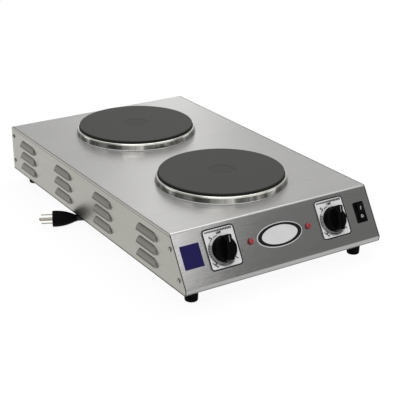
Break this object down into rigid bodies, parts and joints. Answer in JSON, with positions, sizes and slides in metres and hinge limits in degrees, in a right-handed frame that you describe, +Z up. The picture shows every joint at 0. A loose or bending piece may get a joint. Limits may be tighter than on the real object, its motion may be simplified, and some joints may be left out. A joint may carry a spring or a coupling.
{
  "type": "double electric hot plate",
  "caption": "Countertop electric hot plate with cast-iron burners one behind the other on a louvred stainless housing, with a sloped panel of bar knobs, pilot lights and a rocker switch.",
  "frame": {"origin": "on the surface the feet stand on, under the middle of the object without its cord", "axes": "+Z up, +Y from the control panel towards the rear, +X to the right as seen by someone facing the controls"},
  "size_m": [0.3706, 0.6936, 0.109],
  "materials": {
    "housing_steel": "satin brushed stainless sheet",
    "panel_steel": "satin stainless sheet with pressed louvres",
    "bottom_steel": "plain sheet",
    "plate_iron": "matt heat-proof coated casting",
    "ring_chrome": "polished",
    "screw_steel": "zinc-plated screws, studs and nuts",
    "bracket_steel": "plain strap and cover",
    "element_sheath": "heat-darkened element sheath",
    "insulation": "pressed fibre board",
    "ceramic": "unglazed ceramic terminal block",
    "foot_rubber": "moulded rubber",
    "knob_black": "glossy moulded phenolic",
    "dial_face": "printed dial plate",
    "switch_plastic": "moulded switch body",
    "rocker_plastic": "moulded rocker switch",
    "lens_red": "clear red moulded lens",
    "lamp_body": "moulded lamp holder",
    "badge_face": "blank plate with a printed border",
    "label_blue": "blank printed film",
    "terminal_brass": "plain",
    "wire_sleeve": "glass-fibre sleeved wire",
    "cord_black": "rubber-sheathed cord",
    "plug_black": "moulded plug",
    "prong_steel": "nickel-plated",
    "tie_black": "soft strap"
  },
  "bodies": {
    "housing": {"housing_wrap": "housing_steel", "left_side_panel": "panel_steel", "right_side_panel": "panel_steel", "bottom_plate": "bottom_steel", "side_panel_screws": "screw_steel", "bottom_plate_screws": "screw_steel", "foot_front_left": "foot_rubber", "foot_front_right": "foot_rubber", "foot_rear_left": "foot_rubber", "foot_rear_right": "foot_rubber", "foot_screws": "screw_steel", "foot_nuts": "screw_steel", "clamp_studs": "screw_steel", "clamp_nuts": "screw_steel", "control_screws": "screw_steel", "pilot_lamps": "lamp_body", "pilot_clips": "bracket_steel", "left_pilot_lens": "lens_red", "right_pilot_lens": "lens_red", "rocker_frame": "rocker_plastic", "spade_terminals": "terminal_brass", "oval_badge": "badge_face", "blue_label": "label_blue", "mains_terminal_block": "ceramic", "ground_stud": "terminal_brass", "supply_leads": "wire_sleeve", "switch_wires": "wire_sleeve", "plate_wires": "wire_sleeve", "strain_relief": "cord_black", "cord_lead": "cord_black", "cord_coil": "cord_black", "cord_tail": "cord_black", "cord_tie": "tie_black", "plug_body": "plug_black", "plug_prongs": "prong_steel", "front_hotplate": "plate_iron", "front_trim_ring": "ring_chrome", "front_heating_elements": "element_sheath", "front_insulation_pad": "insulation", "front_heater_cover": "bracket_steel", "front_clamp_bar": "bracket_steel", "front_terminal_block": "ceramic", "rear_hotplate": "plate_iron", "rear_trim_ring": "ring_chrome", "rear_heating_elements": "element_sheath", "rear_insulation_pad": "insulation", "rear_heater_cover": "bracket_steel", "rear_clamp_bar": "bracket_steel", "rear_terminal_block": "ceramic", "left_control_switch": "switch_plastic", "left_dial_plate": "dial_face", "right_control_switch": "switch_plastic", "right_dial_plate": "dial_face"},
    "left_control": {"left_knob": "knob_black", "left_control_shaft": "screw_steel"},
    "right_control": {"right_knob": "knob_black", "right_control_shaft": "screw_steel"},
    "rocker": {"rocker_paddle": "rocker_plastic"}
  },
  "joints": [
    {"name": "left_knob_turn", "type": "hinge", "parent": "housing", "child": "left_control", "pos_m": [-0.09, -0.24854, 0.06319], "axis": [0, -0.8557, 0.5174], "continuous": true},
    {"name": "right_knob_turn", "type": "hinge", "parent": "housing", "child": "right_control", "pos_m": [0.09, -0.24854, 0.06319], "axis": [0, -0.8557, 0.5174], "continuous": true},
    {"name": "rocker_tilt", "type": "hinge", "parent": "housing", "child": "rocker", "pos_m": [0.138, -0.24851, 0.06364], "axis": [-1, 0, 0], "range_deg": [0, 20]}
  ]
}
